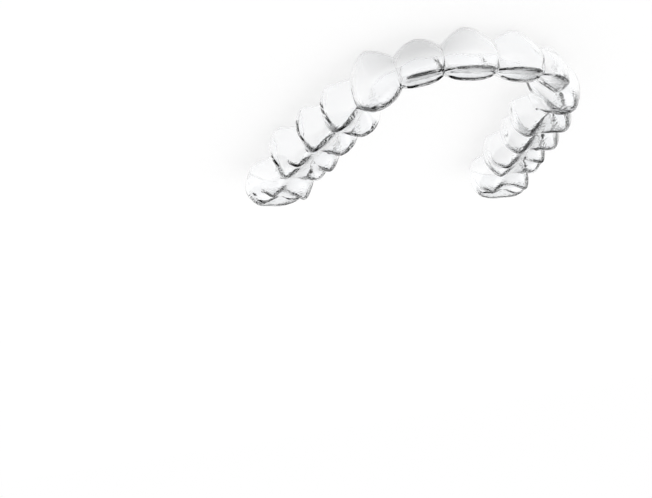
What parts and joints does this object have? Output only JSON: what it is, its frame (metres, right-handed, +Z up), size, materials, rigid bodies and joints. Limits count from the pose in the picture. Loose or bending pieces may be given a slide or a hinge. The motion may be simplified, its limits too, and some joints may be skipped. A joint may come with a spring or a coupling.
{
  "type": "clear aligner",
  "caption": "Clear one-piece tooth aligner: a thin formed plastic shell over a full upper arch, open on its gum side, with scalloped trim edges and no palate.",
  "frame": {"origin": "bottom centre of the bounding box, on the surface that the shell rests on with its open gum side down", "axes": "+Z up, towards the biting edges; -Y towards the front teeth; +X across the arch, towards the wearer's right side; the plane x = 0 is the mirror plane"},
  "size_m": [0.0628, 0.046, 0.0099],
  "materials": {
    "clear_plastic": "clear, colourless, glossy formed sheet"
  },
  "bodies": {
    "root": {"aligner_shell": "clear_plastic"}
  },
  "joints": []
}
